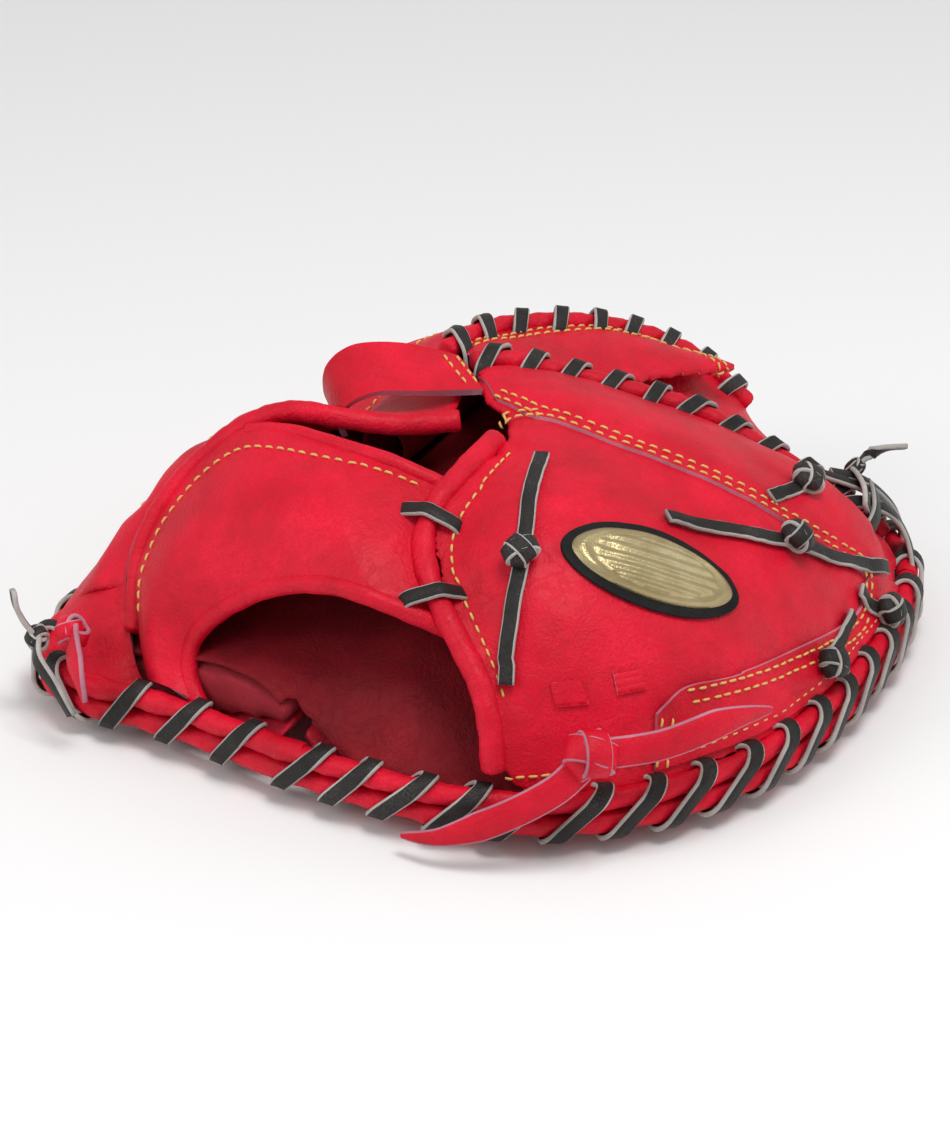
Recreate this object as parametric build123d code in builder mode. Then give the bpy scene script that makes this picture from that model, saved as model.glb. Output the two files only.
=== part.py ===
"""Catcher's mitt for the left hand, lying palm down.

+X runs from the heel to the fingertips, -Y is the thumb side and +Z is up, towards the back
of the hand. The origin is the middle of the mitt's box, on the surface that it lies on.
"""
from build123d import *
import math
import os

# Overall size
LENGTH = 310.0            # heel rim to tip rim, over the laces
WIDTH = 262.0             # thumb rim to little-finger rim, over the laces
HEIGHT = 118.0            # palm bulge to the top of the index guard

# Leather, padding and thread sizes
SHELL_THICKNESS = 3.0     # back panels and palm leather
BAND_THICKNESS = 1.6      # overlaid bands and patches
LINER_THICKNESS = 1.6     # soft lining over the pad
STRAP_THICKNESS = 3.4     # wrist strap, leather on both faces
WEB_THICKNESS = 3.2       # web, two leathers sewn together
PAD_EDGE = 5.0            # pad height where it meets the rim
PAD_CROWN = 24.0          # pad height under the thumb and the fingers
PAD_CREASE = 7.0          # pad height beside the pocket crease
ROLL_RADIUS = 4.0         # rolled leather edge of the rim and the panels
BINDING_RADIUS = 2.6      # rolled edges of the wrist strap
RIM_HEIGHT = 15.0         # where the two rim rolls meet
LACE_WIDTH = 5.6          # rawhide lace
LACE_THICKNESS = 1.5
THONG_WIDTH = 9.0         # soft thongs that tie the inner loops
STALL_WALL = 1.4          # lining of the finger stalls
GUARD_WIDTH = 25.0        # index finger guard
GUARD_THICKNESS = 2.6
EMBLEM_BACKING = 1.4      # felt under the emblem
EMBLEM_PLATE = 1.8        # moulded emblem

# Clearances
SEWN_GAP = 0.5            # between sheets that are sewn or pressed together
OVERLAY_GAP = 1.4         # between a panel and what lies on it
LACE_GAP = 0.5            # between a lace and the roll that it binds
ROLL_GAP = 0.4            # between the two rim rolls
HINGE_GAP = 2.2           # each side of the fold, where thumb side meets finger side

# Lacing
RIM_STITCHES_THUMB = 17
RIM_STITCHES_FINGERS = 19
RIM_STITCHES_TIP = 5
WEB_STITCHES = 11

# The form below is drawn for a mitt of this size and scaled to the overall size
DRAWN_LENGTH = 310.0
DRAWN_WIDTH = 262.0
DRAWN_HEIGHT = 118.0
X_SCALE = LENGTH / DRAWN_LENGTH
Y_SCALE = WIDTH / DRAWN_WIDTH
Z_SCALE = HEIGHT / DRAWN_HEIGHT

pieces = []


def form(points):
    """Points of the drawn form at the mitt's own size."""
    return [Vector(x * X_SCALE, y * Y_SCALE, z * Z_SCALE) for x, y, z in points]


def rim(points):
    """Rim points at the mitt's own size, at the height where the two rolls meet."""
    return [Vector(x * X_SCALE, y * Y_SCALE, RIM_HEIGHT) for x, y in points]


# Rim outline, from the heel round each side to the tip
THUMB_RIM = rim([
    (-130, -6), (-126, -35), (-117, -72), (-99, -102), (-72, -123), (-33, -136),
    (15, -135), (74, -121), (103, -108), (121, -96),
])
FINGER_RIM = rim([
    (-130, 1), (-133, 45), (-142, 78), (-137, 102), (-115, 117), (-70, 123), (0, 122),
    (55, 115), (105, 97), (138, 68), (152, 36), (156, 8),
])
TIP_RIM = rim([(156, 2), (154, -25), (146, -56), (136, -78), (125, -92)])

# Edges of the back, as centre lines of their rolls
THUMB_EDGE = form([
    (-108, -84, 30), (-107, -82, 44), (-103, -75, 57), (-98, -59, 69), (-92, -43, 79),
    (-83, -31, 88), (-70, -25, 95), (-48, -22, 101), (-26, -17, 102),
])
THUMB_SEAM = form([
    (12, 26, 106), (23, 19, 105), (41, 6, 97), (56, -9, 90), (76, -28, 80), (90, -46, 66),
    (104, -63, 52), (116, -76, 38), (122, -84, 28),
])
FINGER_EDGE = form([
    (-119, 73, 32), (-112, 79, 41), (-104, 85, 53), (-92, 84, 69), (-82, 78, 82),
    (-69, 66, 97), (-59, 52, 105), (-50, 36, 103), (-37, 19, 100), (-21, 4, 101),
])
FINGER_SEAM = form([
    (16, 42, 104), (46, 47, 102), (82, 34, 96), (111, 25, 84), (133, 12, 69), (148, 0, 48),
])

# Fold line of the mitt, from the heel up through the pocket
HINGE_HEEL, HINGE_WEB = form([(-135, -5, 15), (60, 4, 75)])

# Inner edge of the palm on each side: beside the fold, then out under the web
THUMB_CREASE = form([
    (-126, -5, 17), (-90, -3, 29), (-45, -1, 43), (0, 1, 57), (30, 2, 65), (56, -8, 68),
    (76, -33, 54), (90, -53, 41), (104, -70, 28), (116, -84, 18),
])
FINGER_CREASE = form([
    (-126, -5, 17), (-90, -3, 29), (-45, -1, 43), (0, 1, 57), (30, 2, 66), (56, 14, 74),
    (82, 26, 72), (111, 20, 60), (133, 10, 45), (147, 2, 27),
])


def at_station(edge, x):
    """Point of an edge at station x, straight between its listed points."""
    for start, end in zip(edge, edge[1:]):
        if start.X <= x <= end.X:
            return start + (end - start) * ((x - start.X) / (end.X - start.X))
    return edge[0] if x < edge[0].X else edge[-1]


def beside(edge, distance):
    """An edge moved sideways in plan, to the left of its direction, with its heights kept."""
    moved = []
    for index, point in enumerate(edge):
        before = edge[max(index - 1, 0)]
        after = edge[min(index + 1, len(edge) - 1)]
        along = Vector(after.X - before.X, after.Y - before.Y, 0).normalized()
        moved.append(point + Vector(-along.Y, along.X, 0) * distance)
    return moved


def stations(*drawn):
    """Stations along X at the mitt's own length."""
    return [x * X_SCALE for x in drawn]


def mix(a, b, share):
    """Point between two (y, z) pairs."""
    return (a[0] + (b[0] - a[0]) * share, a[1] + (b[1] - a[1]) * share)


def split_curve(points, share):
    """The two halves of a cubic Bezier curve, cut at a share of its parameter."""
    a, b, c, d = points
    ab, bc, cd = mix(a, b, share), mix(b, c, share), mix(c, d, share)
    abc, bcd = mix(ab, bc, share), mix(bc, cd, share)
    middle = mix(abc, bcd, share)
    return [a, ab, abc, middle], [middle, bcd, cd, d]


def stretch_of(points, low, high):
    """The stretch of a cubic Bezier curve between two parameters."""
    upper = split_curve(points, low)[1]
    return split_curve(upper, (high - low) / (1.0 - low))[0]


def curve_point(points, share):
    """Point of a cubic Bezier curve."""
    return split_curve(points, share)[1][0]


def keep(piece, name):
    """Label a finished piece and list it for export."""
    piece.part.label = name
    pieces.append(piece.part)


def sheet(name, across, faces):
    """A leather sheet or pad: ribs across the mitt, each between two Bezier faces, lofted along X."""
    with BuildPart() as piece:
        for x in across:
            outer, inner = faces(x)
            with BuildSketch(Plane.YZ.offset(x)):
                with BuildLine():
                    Bezier(*outer)
                    Line(outer[-1], inner[-1])
                    Bezier(*reversed(inner))
                    Line(inner[0], outer[0])
                make_face()
        loft()
    keep(piece, name)


def corner_radii(points):
    """Arc radii of a rounded path: 0.45 of the shorter run at each corner."""
    radii = []
    for before, corner, after in zip(points, points[1:], points[2:]):
        run_in, run_out = corner - before, after - corner
        half_turn = math.radians(run_in.get_angle(run_out)) / 2
        radii.append(0.45 * min(run_in.length, run_out.length) / math.tan(half_turn))
    return radii


def rounded_path(points):
    """Straight runs joined by tangent arcs."""
    with BuildLine() as path:
        FilletPolyline(*points, radius=corner_radii(points))
    return path.line


def roll(name, points, radius=ROLL_RADIUS):
    """A rolled leather edge along a rounded path."""
    path = rounded_path(points)
    with BuildPart() as piece:
        with BuildSketch(Plane(origin=path @ 0, z_dir=path % 0)):
            Circle(radius)
        sweep(path=path)
    keep(piece, name)
    return path


def stitch_planes(path, count):
    """Planes across a path at the middle of each of its equal lengths, standing upright."""
    planes = []
    for index in range(count):
        share = (index + 0.5) / count
        along = path % share
        across = Vector(along.Y, -along.X, 0).normalized()
        planes.append(Plane(origin=path @ share, x_dir=across, z_dir=along))
    return planes


# ---------------------------------------------------------------------------
# Rim: two rolled edges, one over the other, bound together by rawhide lace

ROLL_OFFSET = ROLL_RADIUS + ROLL_GAP / 2
LOWER = Vector(0, 0, -ROLL_OFFSET)
UPPER = Vector(0, 0, ROLL_OFFSET)

for side, outline in (("thumb", THUMB_RIM), ("fingers", FINGER_RIM), ("tip", TIP_RIM)):
    roll("rim_roll_lower_" + side, [point + LOWER for point in outline])
    roll("rim_roll_upper_" + side, [point + UPPER for point in outline])


def rim_lace(name, outline, count):
    """Lace turns round both rim rolls, one closed turn to each pair of holes."""
    inside = 2 * (ROLL_RADIUS + LACE_GAP)
    with BuildPart() as piece:
        with BuildSketch(*stitch_planes(rounded_path(outline), count)):
            SlotCenterToCenter(2 * ROLL_OFFSET, inside + 2 * LACE_THICKNESS, rotation=90)
            SlotCenterToCenter(2 * ROLL_OFFSET, inside, rotation=90, mode=Mode.SUBTRACT)
        extrude(amount=LACE_WIDTH / 2, both=True)
    keep(piece, name)


rim_lace("rim_lace_thumb", THUMB_RIM, RIM_STITCHES_THUMB)
rim_lace("rim_lace_fingers", FINGER_RIM, RIM_STITCHES_FINGERS)
rim_lace("rim_lace_tip", TIP_RIM, RIM_STITCHES_TIP)

# Room between a roll's corner point and the sheet beside it: the roll, one lace, and the
# little by which the roll's rounded corners pass inside their points
CORNER_CUT = 1.6
BESIDE_ROLL = ROLL_RADIUS + LACE_GAP + LACE_THICKNESS + SEWN_GAP + CORNER_CUT

# ---------------------------------------------------------------------------
# Palm: leather, pad and lining on each side of the fold

PALM_DROP = 29.0          # how far the palm's curve is drawn down below its edge
PALM_FULL_SPAN = 60.0     # the bulge is shallower where the palm is narrower than this
PAD_FULL_SPAN = 90.0      # and so is the pad

THUMB_INSIDE = beside(THUMB_RIM, BESIDE_ROLL)
FINGER_INSIDE = beside(FINGER_RIM, -BESIDE_ROLL)[3:]


def palm_base(x, inside, crease, inward):
    """Outer face of the palm leather at station x, from the rim down, under and up to the crease."""
    foot = at_station(inside, x).Y
    inner = at_station(crease, x)
    head = inner.Y - inward * HINGE_GAP
    span = head - foot
    drop = PALM_DROP * min(1.0, abs(span) / PALM_FULL_SPAN)
    return [
        (foot, RIM_HEIGHT - ROLL_OFFSET + 1.0),
        (foot + 0.22 * span, RIM_HEIGHT - ROLL_OFFSET - drop),
        (foot + 0.62 * span, inner.Z * 0.92),
        (head, inner.Z),
    ]


def raised(base, heights):
    """A face over the palm, raised by a height at each control point."""
    return [(y, z + height) for (y, z), height in zip(base, heights)]


PAD_BOTTOM = SHELL_THICKNESS + SEWN_GAP


def pad_heights(base):
    """Heights of the pad's upper face over the palm's outer face."""
    fullness = min(1.0, abs(base[3][0] - base[0][0]) / PAD_FULL_SPAN)
    crown = PAD_BOTTOM + PAD_CROWN * fullness
    return (PAD_BOTTOM + PAD_EDGE * fullness, crown, crown, PAD_BOTTOM + PAD_CREASE * fullness)


def make_palm(side, stations, base):
    """Palm leather, pad and lining of one side."""
    def leather(x):
        return raised(base(x), (SHELL_THICKNESS,) * 4), base(x)

    def pad(x):
        return raised(base(x), pad_heights(base(x))), raised(base(x), (PAD_BOTTOM,) * 4)

    def lining(x):
        low = [height + SEWN_GAP for height in pad_heights(base(x))]
        high = [height + LINER_THICKNESS for height in low]
        return raised(base(x), high), raised(base(x), low)

    sheet("palm_leather_" + side, stations, leather)
    sheet("pad_" + side, stations, pad)
    sheet("lining_" + side, stations, lining)


def thumb_palm(x):
    return palm_base(x, THUMB_INSIDE, THUMB_CREASE, 1)


def finger_palm(x):
    return palm_base(x, FINGER_INSIDE, FINGER_CREASE, -1)


make_palm("thumb", stations(-118, -105, -85, -55, -20, 15, 45, 70, 92, 110), thumb_palm)
make_palm("fingers", stations(-122, -110, -85, -55, -20, 15, 45, 75, 105, 128, 141), finger_palm)

# ---------------------------------------------------------------------------
# Back: a panel over the thumb and one over the fingers, and the rolled edges round them

THUMB_FULLNESS = (0.62, 0.03, 0.50, 0.03)
FINGER_FULLNESS = (0.40, 0.06, 0.45, -0.08)
RIB_LEAN = ((1.0, 0.0), (0.9, -0.45), (0.45, -0.9), (0.3, -0.95))
FOOT_HEIGHT = RIM_HEIGHT + ROLL_OFFSET + ROLL_RADIUS + LACE_GAP + LACE_THICKNESS + SEWN_GAP
FOOT_OVER_ROLL = 2.5      # how far the back's foot reaches out over the rim lace's inner run

# Where the two panels meet, between the finger opening and the web
THUMB_JOIN = form([(-15, 7, 104), (1, 25, 106)])
FINGER_JOIN = form([(-9, 1, 102), (7, 19, 104)])
THUMB_TOP = beside(THUMB_EDGE + THUMB_JOIN + THUMB_SEAM, -BESIDE_ROLL)
FINGER_TOP = beside(FINGER_EDGE + FINGER_JOIN + FINGER_SEAM, BESIDE_ROLL)
THUMB_FOOT = beside(THUMB_RIM, BESIDE_ROLL - FOOT_OVER_ROLL)
FINGER_FOOT = beside(FINGER_RIM, FOOT_OVER_ROLL - BESIDE_ROLL)[3:]


def back_rib(x, bottom, top, fullness):
    """Outer face of a back panel at station x, from the rim up and over to its top edge."""
    foot = (at_station(bottom, x).Y, FOOT_HEIGHT)
    edge = at_station(top, x)
    head = (edge.Y, edge.Z)
    width = head[0] - foot[0]
    rise = head[1] - foot[1]
    low_lift, low_in, high_out, high_lift = fullness
    return [
        foot,
        (foot[0] + low_in * width, foot[1] + low_lift * rise),
        (head[0] - high_out * width, head[1] + high_lift * rise),
        head,
    ]


def thumb_back(x):
    return back_rib(x, THUMB_FOOT, THUMB_TOP, THUMB_FULLNESS)


def finger_back(x):
    return back_rib(x, FINGER_FOOT, FINGER_TOP, FINGER_FULLNESS)


def outward(rib, distance):
    """A rib's face moved out from the hand, or in where the distance is negative."""
    side = 1 if rib[3][0] < rib[0][0] else -1
    return [(y + side * a * distance, z - b * distance) for (y, z), (a, b) in zip(rib, RIB_LEAN)]


def panel_faces(back):
    def faces(x):
        return back(x), outward(back(x), -SHELL_THICKNESS)
    return faces


sheet("back_panel_thumb", stations(-100, -88, -70, -45, -22, 0, 25, 50, 75, 96, 114), panel_faces(thumb_back))
sheet("back_panel_fingers", stations(-114, -102, -88, -70, -50, -25, -5, 20, 45, 75, 105, 128, 143),
      panel_faces(finger_back))

thumb_edge = roll("edge_roll_thumb", THUMB_EDGE)
thumb_seam = roll("seam_roll_thumb", THUMB_SEAM)
finger_edge = roll("edge_roll_fingers", FINGER_EDGE)
finger_seam = roll("seam_roll_fingers", FINGER_SEAM)

# ---------------------------------------------------------------------------
# Bands sewn over the thumb panel, and the rawhide ties that lie on it


def overlay(back, low, high, thickness, lift=OVERLAY_GAP):
    """A strip that lies on a back panel, between two shares of each rib's curve."""
    def faces(x):
        shares = (low(x), high(x))
        inner = stretch_of(outward(back(x), lift), *shares)
        outer = stretch_of(outward(back(x), lift + thickness), *shares)
        return outer, inner
    return faces


def constant(value):
    return lambda x: value


sheet("rim_band_thumb", stations(-88, -70, -45, -22, 0, 25, 48, 66),
      overlay(thumb_back, constant(0.02), constant(0.20), BAND_THICKNESS))
sheet("seam_band_thumb", stations(0, 25, 50, 75, 96),
      overlay(thumb_back, constant(0.80), constant(0.97), BAND_THICKNESS))


def rib_length(rib):
    """About how long a rib's curve is."""
    return sum(math.dist(a, b) for a, b in zip(rib, rib[1:])) * 0.9


def along_x(places):
    """A share of the rib that follows listed (station, share) places, straight between them."""
    line = [Vector(x * X_SCALE, share, 0) for x, share in places]
    return lambda x: at_station(line, x).Y


def lace_on_panel(name, places, knot_at):
    """A flat lace that lies along the thumb panel through listed places, with one knot on it."""
    centre = along_x(places)

    def half(x):
        return LACE_WIDTH / 2 / rib_length(thumb_back(x))

    faces = overlay(thumb_back, lambda x: centre(x) - half(x), lambda x: centre(x) + half(x), LACE_THICKNESS, LACE_LIFT)
    knot_x = knot_at * X_SCALE
    touch = back_plane(thumb_back, knot_x, centre(knot_x))
    with BuildPart() as piece:
        for x, _ in places:
            outer, inner = faces(x * X_SCALE)
            with BuildSketch(Plane.YZ.offset(x * X_SCALE)):
                with BuildLine():
                    Bezier(*outer)
                    Line(outer[-1], inner[-1])
                    Bezier(*reversed(inner))
                    Line(inner[0], outer[0])
                make_face()
        loft()
        with Locations(touch.offset(LACE_LIFT + KNOT_HEIGHT / 2)):
            Cylinder(KNOT_RADIUS, KNOT_HEIGHT)
    keep(piece, name)


def back_plane(back, x, share):
    """Plane that touches a back panel at a station and a share of the rib, facing out."""
    step = 1.0
    here = curve_point(back(x), share)
    behind = curve_point(back(x - step), share)
    ahead = curve_point(back(x + step), share)
    further = curve_point(back(x), share + 0.01)
    along = Vector(2 * step, ahead[0] - behind[0], ahead[1] - behind[1])
    up = Vector(0, further[0] - here[0], further[1] - here[1])
    out = along.cross(up).normalized()
    if out.Z < 0:
        out = -out
    return Plane(origin=(x, *here), x_dir=along, z_dir=out)


KNOT_RADIUS = 6.5
KNOT_HEIGHT = 5.0
LACE_LIFT = OVERLAY_GAP + BAND_THICKNESS + OVERLAY_GAP    # the ties cross the bands

lace_on_panel("pad_tie_lace", [(-94, 0.86), (-82, 0.79), (-68, 0.75), (-50, 0.82), (-32, 0.89)], -68)
lace_on_panel("web_tie_lace", [(-10, 0.54), (8, 0.46), (30, 0.36), (55, 0.26), (80, 0.17), (94, 0.13)], 30)

# Emblem: a felt backing and a moulded plate, both oval and bent to the panel
EMBLEM_MIDDLE = -27.0
EMBLEM_HALF_LENGTH = 25.0
EMBLEM_HALF_SHARE = 0.095
EMBLEM_SHARE = 0.52       # of the rib, at the emblem's middle
EMBLEM_BORDER = 2.5
EMBLEM_SLOPE = -0.0085    # change of the rib's share for each mm along X


def emblem(name, border, lift, thickness):
    """An oval plate bent to the thumb panel, smaller all round by its border."""
    half_length = EMBLEM_HALF_LENGTH - border
    half_share = EMBLEM_HALF_SHARE * half_length / EMBLEM_HALF_LENGTH
    middle = EMBLEM_MIDDLE * X_SCALE

    def limit(x, side):
        along = (x - middle) / half_length
        return EMBLEM_SHARE + EMBLEM_SLOPE * (x - middle) + side * half_share * math.sqrt(1 - along ** 2)

    def faces(x):
        low, high = limit(x, -1), limit(x, 1)
        rib = thumb_back(x)
        return (stretch_of(outward(rib, lift + thickness), low, high), stretch_of(outward(rib, lift), low, high))

    sheet(name, [middle + half_length * step for step in (-0.97, -0.8, -0.4, 0, 0.4, 0.8, 0.97)], faces)


emblem("emblem_backing", 0.0, OVERLAY_GAP, EMBLEM_BACKING)
emblem("emblem_plate", EMBLEM_BORDER, OVERLAY_GAP + EMBLEM_BACKING + SEWN_GAP, EMBLEM_PLATE)

# ---------------------------------------------------------------------------
# Lace turns round the rolled edges of the panels


def roll_lace(name, planes):
    """Closed turns of lace round a single roll."""
    inside = ROLL_RADIUS + LACE_GAP
    with BuildPart() as piece:
        with BuildSketch(*planes):
            Circle(inside + LACE_THICKNESS)
            Circle(inside, mode=Mode.SUBTRACT)
        extrude(amount=LACE_WIDTH / 2, both=True)
    keep(piece, name)


def plane_across(path, share):
    return Plane(origin=path @ share, z_dir=path % share)


roll_lace("web_lace_thumb", stitch_planes(thumb_seam, WEB_STITCHES))
roll_lace("web_lace_fingers", stitch_planes(finger_seam, WEB_STITCHES - 2))
roll_lace("strap_lace", [plane_across(thumb_edge, share) for share in (0.66, 0.44)])

# ---------------------------------------------------------------------------
# Web: a folded panel between the thumb seam and the finger seam, with a flap over it

WEB_SAG = 1.5
FLAP_CROWN = 3.0
FLAP_NEAR = beside(THUMB_SEAM, BESIDE_ROLL)[:4] + form([(126, -12, 76)])
FLAP_FAR = beside(FINGER_SEAM, -BESIDE_ROLL)[:5]
WEB_NEAR = beside(THUMB_SEAM, BESIDE_ROLL)[3:8] + form([(134, -64, 31), (145, -40, 31), (148, -25, 31)])
WEB_FAR = beside(FINGER_SEAM, -BESIDE_ROLL)


def web_faces(near, far, crown, drop):
    """A sheet between two edges, crowned in the middle and dropped under what lies on it."""
    def faces(x):
        a, b = at_station(near, x), at_station(far, x)
        third = (b - a) / 3
        outer = [
            (a.Y, a.Z - drop),
            (a.Y + third.Y, a.Z + third.Z + crown - drop),
            (a.Y + 2 * third.Y, a.Z + 2 * third.Z + crown - drop),
            (b.Y, b.Z - drop),
        ]
        return outer, [(y, z - WEB_THICKNESS) for y, z in outer]
    return faces


sheet("web_flap", stations(20, 38, 56, 80, 104, 124), web_faces(FLAP_NEAR, FLAP_FAR, FLAP_CROWN, 0.0))
sheet("web_panel", stations(71, 82, 96, 112, 128, 142),
      web_faces(WEB_NEAR, WEB_FAR, -WEB_SAG, WEB_THICKNESS + SEWN_GAP + FLAP_CROWN))

# ---------------------------------------------------------------------------
# Wrist strap: arches over the wrist opening, from the finger panel's edge to under the thumb's

STRAP_BOW = 5.0
STRAP_EDGES = [
    # station across the mitt, lower edge (x, z), upper edge (x, z)
    (64, (-118, 34), (-80, 84)),
    (48, (-117, 42), (-68, 97)),
    (28, (-114, 58), (-66, 101)),
    (5, (-111, 71), (-65, 103)),
    (-8, (-109, 76), (-63, 102)),
    (-21, (-108, 79), (-87, 90)),
]


def strap_rib(low, high, lift):
    """One face of the strap between its edges, bowed out and lifted by a distance."""
    chord = Vector(high[0] - low[0], high[1] - low[1], 0)
    out = Vector(-chord.Y, chord.X, 0).normalized()
    bow = STRAP_BOW * chord.length / 60.0
    points = []
    for share, bulge in ((0, 0), (1 / 3, bow), (2 / 3, bow), (1, 0)):
        place = Vector(*low, 0) + chord * share + out * (bulge + lift)
        points.append((place.X * X_SCALE, place.Y * Z_SCALE))
    return points


with BuildPart() as wrist_strap:
    for y, lower_edge, upper_edge in STRAP_EDGES:
        outer = strap_rib(lower_edge, upper_edge, 0)
        inner = strap_rib(lower_edge, upper_edge, -STRAP_THICKNESS)
        with BuildSketch(Plane.XZ.offset(-y * Y_SCALE)):
            with BuildLine():
                Bezier(*outer)
                Line(outer[-1], inner[-1])
                Bezier(*reversed(inner))
                Line(inner[0], outer[0])
            make_face()
    loft()
keep(wrist_strap, "wrist_strap")


def strap_binding_points(edge, away):
    """Centre line of a binding, just off one edge of the strap."""
    points = []
    for row in STRAP_EDGES[:-1]:
        y, (x_low, z_low), (x_high, z_high) = row
        chord = Vector(x_high - x_low, 0, z_high - z_low).normalized()
        x, z = row[edge]
        place = Vector(x * X_SCALE, y * Y_SCALE, z * Z_SCALE)
        points.append(place + chord * away)
    return points


BINDING_AWAY = BINDING_RADIUS + OVERLAY_GAP + CORNER_CUT / 2
roll("strap_binding_lower", strap_binding_points(1, -BINDING_AWAY), BINDING_RADIUS)
roll("strap_binding_upper", strap_binding_points(2, BINDING_AWAY)[1:], BINDING_RADIUS)

# ---------------------------------------------------------------------------
# Index finger guard: a leather band that arches over the finger opening's edge

GUARD_PLANE = Plane(
    origin=form([(3, 21, 0)])[0], x_dir=(-0.8, 0.6, 0), z_dir=(0.6, 0.8, 0))
GUARD_ARCH = [(-9, 112.2), (8, 112.6), (30, 117.5), (46, 116.5), (50, 111), (47, 107)]

with BuildPart() as finger_guard:
    with BuildSketch(GUARD_PLANE):
        with BuildLine() as arch:
            arch_points = [Vector(u, z * Z_SCALE, 0) for u, z in GUARD_ARCH]
            FilletPolyline(*arch_points, radius=corner_radii(arch_points))
        trace(line_width=GUARD_THICKNESS)
    extrude(amount=GUARD_WIDTH / 2, both=True)
keep(finger_guard, "finger_guard")

# ---------------------------------------------------------------------------
# Finger and thumb stalls: soft linings, closed at the tip, inside the back


def stall(name, mouth, tip, mouth_radius, tip_radius):
    """A tapered tube, open at the mouth and round at the tip."""
    start, end = form([mouth, tip])
    length = (end - start).length
    mouth_end = (Align.CENTER, Align.CENTER, Align.MIN)
    with BuildPart(Plane(origin=start, z_dir=end - start)) as piece:
        for radius_cut, mode in ((0.0, Mode.ADD), (STALL_WALL, Mode.SUBTRACT)):
            Cone(mouth_radius - radius_cut, tip_radius - radius_cut, length, align=mouth_end, mode=mode)
            with Locations((0, 0, length)):
                Sphere(tip_radius - radius_cut, mode=mode)
    keep(piece, name)


stall("stall_index", (-15, 46, 75), (70, 58, 78), 9.5, 7.0)
stall("stall_middle", (-15, 64, 64), (76, 71, 65), 9.5, 7.5)
stall("stall_ring", (-15, 81, 51), (70, 84, 50), 9.5, 7.5)
stall("stall_little", (-15, 97, 38), (46, 96, 37), 8.0, 6.5)
stall("stall_thumb", (-35, -62, 72), (66, -84, 54), 12.5, 9.0)

# ---------------------------------------------------------------------------
# Thongs and lace ends that are tied outside the mitt


def ribbon(points, width, thickness):
    """A flat thong along a rounded path, its width standing across the path."""
    path = rounded_path(points)
    along = path % 0
    across = Vector(along.Y, -along.X, 0).normalized()
    with BuildPart() as piece:
        with BuildSketch(Plane(origin=path @ 0, x_dir=across, z_dir=along)):
            Rectangle(thickness, width)
        sweep(path=path)
    return piece.part


THONG_THICKNESS = 2.0


def tied_thong(name, knot, knot_radius, tails, width, thickness):
    """A knot with the ends of a thong leaving it."""
    with BuildPart() as piece:
        with Locations(form([knot])[0]):
            Sphere(knot_radius)
        for tail in tails:
            add(ribbon(form(tail), width, thickness))
    keep(piece, name)


tied_thong("thumb_thong", (-95, -115, 42), 6.5, [
    [(-96, -115, 41), (-107, -110, 32), (-119, -96, 21), (-129, -79, 12), (-132, -64, 8)],
    [(-94, -116, 42), (-76, -130, 43), (-52, -139, 45), (-29, -141, 40)],
], THONG_WIDTH, THONG_THICKNESS)
tied_thong("little_finger_thong", (-138, 85, 36), 5.5, [
    [(-139, 84, 36), (-147, 76, 37), (-153, 68, 32), (-154, 64, 22)],
], THONG_WIDTH, THONG_THICKNESS)
tied_thong("heel_lace_ends", (-143, 98, 31), 4.0, [
    [(-143, 98, 31), (-144, 103, 38), (-142, 108, 48), (-142, 110, 58)],
    [(-144, 97, 31), (-153, 88, 30), (-155, 78, 24), (-154, 71, 14)],
], LACE_WIDTH, LACE_THICKNESS)
tied_thong("tip_lace_ends", (127, -66, 48), 4.5, [
    [(127, -66, 48), (136, -72, 54), (143, -79, 56), (150, -87, 55)],
    [(124, -68, 48), (116, -76, 51), (107, -85, 52), (99, -91, 50)],
], LACE_WIDTH, LACE_THICKNESS)

# ---------------------------------------------------------------------------
# Export, with the origin at the middle of the box's floor, measured without the loose ends

LOOSE = ("thumb_thong", "little_finger_thong", "heel_lace_ends", "tip_lace_ends")
boxes = [piece.bounding_box() for piece in pieces if piece.label not in LOOSE]
low = Vector(*(min(getattr(box.min, axis) for box in boxes) for axis in "XYZ"))
high = Vector(*(max(getattr(box.max, axis) for box in boxes) for axis in "XYZ"))
shift = Vector(-(low.X + high.X) / 2, -(low.Y + high.Y) / 2, -low.Z)
os.makedirs("parts", exist_ok=True)
for piece in pieces:
    placed = piece.moved(Location(shift))
    placed.label = piece.label
    export_step(placed, "parts/" + piece.label + ".step")
print("size", high - low, "shift", shift)
print("hinge", HINGE_HEEL + shift, HINGE_WEB + shift)
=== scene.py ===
"""Catcher's mitt for the left hand, lying palm down, in red leather with black rawhide lacing."""
import math
import bmesh
import bpy
import numpy as np
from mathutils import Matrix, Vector, noise
from mathutils.bvhtree import BVHTree
from mathutils.kdtree import KDTree


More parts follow.
